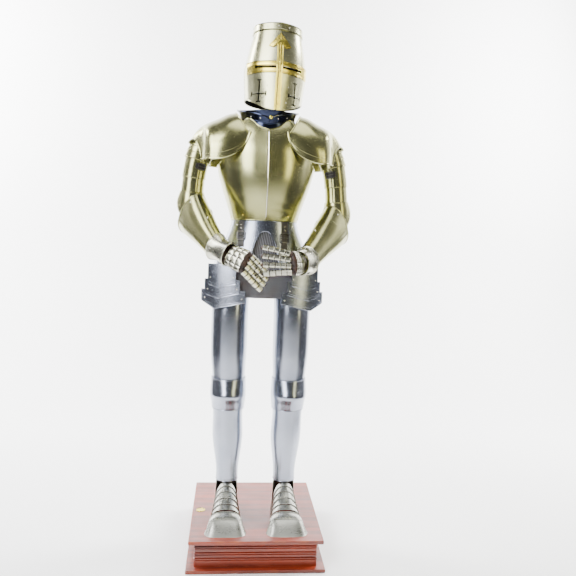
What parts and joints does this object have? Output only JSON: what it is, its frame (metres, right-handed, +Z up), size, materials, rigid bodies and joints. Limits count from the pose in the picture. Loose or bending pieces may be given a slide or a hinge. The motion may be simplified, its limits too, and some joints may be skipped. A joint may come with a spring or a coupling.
{
  "type": "suit of plate armour on a wooden plinth",
  "caption": "Empty suit of plate armour with a great helm, standing on a stepped wooden plinth; the plates are thin open shells and the helm turns on the collar.",
  "frame": {"origin": "centre of the plinth's underside", "axes": "+Z up, the suit faces -Y, +X is the wearer's left"},
  "size_m": [0.6326, 0.5365, 1.8911],
  "materials": {
    "body_steel": "polished",
    "leg_steel": "polished",
    "dark_steel": "blued, polished",
    "brass": "polished",
    "mail": "blackened rings",
    "strap_leather": "satin",
    "glove_leather": "matt",
    "plinth_wood": "glossy lacquer"
  },
  "bodies": {
    "suit": {"plinth_bottom_board": "plinth_wood", "plinth_body": "plinth_wood", "plinth_top_board": "plinth_wood", "sabaton_lames_right": "leg_steel", "sabaton_toe_right": "leg_steel", "sabaton_heel_right": "leg_steel", "greave_right": "leg_steel", "poleyn_right": "leg_steel", "cuisse_right": "leg_steel", "tasset_right_1": "leg_steel", "tasset_right_2": "leg_steel", "tasset_right_3": "leg_steel", "pauldron_right": "body_steel", "sabaton_lames_left": "leg_steel", "sabaton_toe_left": "leg_steel", "sabaton_heel_left": "leg_steel", "greave_left": "leg_steel", "poleyn_left": "leg_steel", "cuisse_left": "leg_steel", "tasset_left_1": "leg_steel", "tasset_left_2": "leg_steel", "tasset_left_3": "leg_steel", "pauldron_left": "body_steel", "breastplate": "body_steel", "backplate": "body_steel", "fauld_front": "body_steel", "fauld_back": "body_steel", "mail_skirt": "mail", "waist_strap_right": "strap_leather", "waist_strap_left": "strap_leather", "gorget": "dark_steel", "shoulder_lames_right": "body_steel", "upper_cannon_right": "body_steel", "lower_cannon_right": "body_steel", "couter_right": "body_steel", "vambrace_right": "body_steel", "gauntlet_cuff_right": "body_steel", "hand_plate_right": "body_steel", "finger_scales_right_1": "body_steel", "finger_scales_right_2": "body_steel", "finger_scales_right_3": "body_steel", "finger_scales_right_4": "body_steel", "glove_right": "glove_leather", "shoulder_lames_left": "body_steel", "upper_cannon_left": "body_steel", "lower_cannon_left": "body_steel", "couter_left": "body_steel", "vambrace_left": "body_steel", "gauntlet_cuff_left": "body_steel", "hand_plate_left": "body_steel", "finger_scales_left_1": "body_steel", "finger_scales_left_2": "body_steel", "finger_scales_left_3": "body_steel", "finger_scales_left_4": "body_steel", "glove_left": "glove_leather"},
    "helm": {"helm_front": "body_steel", "helm_back": "body_steel", "helm_crown": "body_steel", "helm_brass_cross": "brass"}
  },
  "joints": [
    {"name": "helm_turn", "type": "hinge", "parent": "suit", "child": "helm", "pos_m": [0.014, 0, 1.5785], "axis": [0, 0, 1], "range_deg": [-20, 20]}
  ]
}
